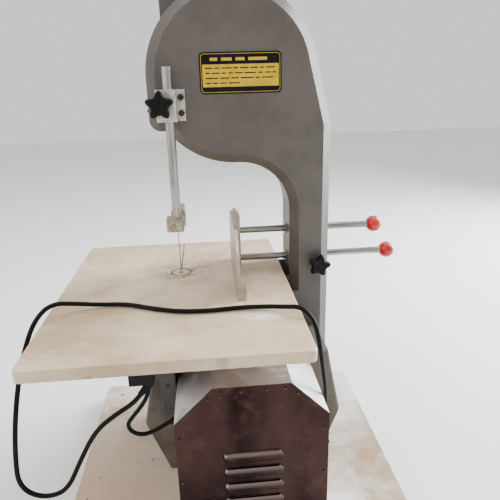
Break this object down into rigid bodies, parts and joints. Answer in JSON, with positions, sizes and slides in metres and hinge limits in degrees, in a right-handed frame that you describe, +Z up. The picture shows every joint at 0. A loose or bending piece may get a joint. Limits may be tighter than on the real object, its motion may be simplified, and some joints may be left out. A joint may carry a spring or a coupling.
{
  "type": "bone saw",
  "caption": "Bench band saw for cutting bone: C-shaped cast frame, table, sliding fence on rods, adjustable blade guide, covered motor, switch box, mains lead and rear wheel doors.",
  "frame": {"origin": "on the surface the feet stand on, below the middle of the machine's width and depth measured with the table and the fence rods, without the free cords", "axes": "+Z up, +Y away from the operator, +X to the operator's right"},
  "size_m": [0.6477, 0.5788, 0.866],
  "materials": {
    "cast_frame": "worn dark grey-brown enamel",
    "pedestal_paint": "matt grey-brown enamel",
    "cream_enamel": "stained, scratched cream enamel",
    "base_paint": "white paint with rust spots",
    "dark_paint": "dark grey paint",
    "steel": "brushed",
    "polished_steel": "polished sheet",
    "bright_rod": "ground and polished",
    "fence_steel": "brushed stainless",
    "clamp_metal": "satin",
    "guide_block": "worn white nylon",
    "insert_plastic": "brown, worn",
    "black_plastic": "moulded black",
    "red_plastic": "glossy red",
    "stop_red": "glossy red",
    "start_green": "glossy green",
    "cable_black": "matt black",
    "rubber_black": "matt",
    "wheel_iron": "machined cast iron",
    "motor_iron": "painted grey",
    "zinc": "zinc plated",
    "label": "printed yellow plate",
    "brass": "plug pins",
    "scraper": "worn"
  },
  "bodies": {
    "machine": {"base_plate": "base_paint", "rubber_feet": "rubber_black", "base_bolts": "zinc", "frame_casting": "cast_frame", "pedestal": "pedestal_paint", "spine_rear_cover": "polished_steel", "door_hinges": "steel", "saw_blade": "steel", "tension_rails": "steel", "tension_spring_washers": "steel", "guide_clamp": "clamp_metal", "table_top": "cream_enamel", "blade_insert": "insert_plastic", "table_edge_seal": "rubber_black", "table_frame": "dark_paint", "lower_blade_guide": "guide_block", "wheel_scraper": "scraper", "rod_bushes": "rubber_black", "motor_cover": "polished_steel", "motor_front_panel": "polished_steel", "panel_screws": "zinc", "motor_stator": "motor_iron", "motor_bells": "motor_iron", "shaft_bearings": "steel", "fan_cover": "motor_iron", "run_capacitor": "clamp_metal", "switch_box": "black_plastic", "mains_lead": "cable_black", "motor_cable": "cable_black", "cable_glands": "rubber_black", "plug_body": "rubber_black", "plug_pins": "brass", "name_plate": "label", "frame_bolts": "zinc", "frame_screws": "zinc"},
    "fence": {"fence_plate": "fence_steel", "fence_rods": "bright_rod", "ball_knobs": "red_plastic"},
    "fence_lock": {"fence_lock_knob": "black_plastic"},
    "blade_guide_post": {"guide_bar": "bright_rod", "blade_guide": "guide_block"},
    "thrust_roller": {"guide_roller": "steel"},
    "guide_lock": {"guide_lock_knob": "black_plastic"},
    "drive": {"drive_shaft": "steel", "motor_rotor": "steel", "motor_fan": "black_plastic", "lower_wheel": "wheel_iron", "shaft_nut": "zinc"},
    "idler": {"upper_wheel": "wheel_iron", "wheel_bearings": "steel"},
    "tension_carriage": {"tension_slide": "steel", "upper_axle": "steel", "axle_nut": "zinc"},
    "tension_screw": {"tension_knob": "black_plastic"},
    "top_door": {"upper_door": "cast_frame"},
    "bottom_door": {"lower_door": "cast_frame"},
    "top_latch": {"upper_latch_knob": "black_plastic"},
    "bottom_latch": {"lower_latch_knob": "black_plastic"},
    "start": {"start_button": "start_green"},
    "stop": {"stop_button": "stop_red"}
  },
  "joints": [
    {"name": "fence_slide", "type": "slide", "parent": "machine", "child": "fence", "axis": [1, 0, 0], "range_m": [-0.07, 0.08]},
    {"name": "fence_lock_turn", "type": "hinge", "parent": "machine", "child": "fence_lock", "pos_m": [0.14, 0.02, 0.368], "axis": [0, -1, 0], "range_deg": [0, 180]},
    {"name": "guide_slide", "type": "slide", "parent": "machine", "child": "blade_guide_post", "axis": [0, 0, 1], "range_m": [-0.07, 0.095]},
    {"name": "roller_spin", "type": "hinge", "parent": "blade_guide_post", "child": "thrust_roller", "pos_m": [-0.103, 0.0854, 0.458], "axis": [1, 0, 0], "continuous": true},
    {"name": "guide_lock_turn", "type": "hinge", "parent": "machine", "child": "guide_lock", "pos_m": [-0.1155, 0, 0.648], "axis": [0, -1, 0], "range_deg": [0, 180]},
    {"name": "drive_spin", "type": "hinge", "parent": "machine", "child": "drive", "pos_m": [0, 0.068, 0.195], "axis": [0, 1, 0], "continuous": true},
    {"name": "tension_slide_move", "type": "slide", "parent": "machine", "child": "tension_carriage", "axis": [0, 0, 1], "range_m": [-0.008, 0]},
    {"name": "idler_spin", "type": "hinge", "parent": "tension_carriage", "child": "idler", "pos_m": [0, 0.068, 0.69], "axis": [0, 1, 0], "continuous": true},
    {"name": "tension_knob_turn", "type": "hinge", "parent": "machine", "child": "tension_screw", "pos_m": [0, 0.05, 0.85], "axis": [0, 0, 1], "range_deg": [0, 1925]},
    {"name": "top_door_swing", "type": "hinge", "parent": "machine", "child": "top_door", "pos_m": [0.168, 0.132, 0.69], "axis": [0, 0, -1], "range_deg": [0, 110]},
    {"name": "bottom_door_swing", "type": "hinge", "parent": "machine", "child": "bottom_door", "pos_m": [0.168, 0.132, 0.195], "axis": [0, 0, -1], "range_deg": [0, 110]},
    {"name": "top_latch_turn", "type": "hinge", "parent": "top_door", "child": "top_latch", "pos_m": [-0.129, 0.14, 0.632], "axis": [0, 1, 0], "range_deg": [0, 90]},
    {"name": "bottom_latch_turn", "type": "hinge", "parent": "bottom_door", "child": "bottom_latch", "pos_m": [-0.105, 0.14, 0.252], "axis": [0, 1, 0], "range_deg": [0, 90]},
    {"name": "start_press", "type": "slide", "parent": "machine", "child": "start", "axis": [0, 1, 0], "range_m": [0, 0.003], "stiffness_N_per_m": 400},
    {"name": "stop_press", "type": "slide", "parent": "machine", "child": "stop", "axis": [0, 1, 0], "range_m": [0, 0.003], "stiffness_N_per_m": 400}
  ],
  "couplings": [
    {"joint": "tension_knob_turn", "follows": "tension_slide_move", "rad_per_m": -4188.8},
    {"joint": "idler_spin", "follows": "drive_spin", "ratio": 1}
  ]
}
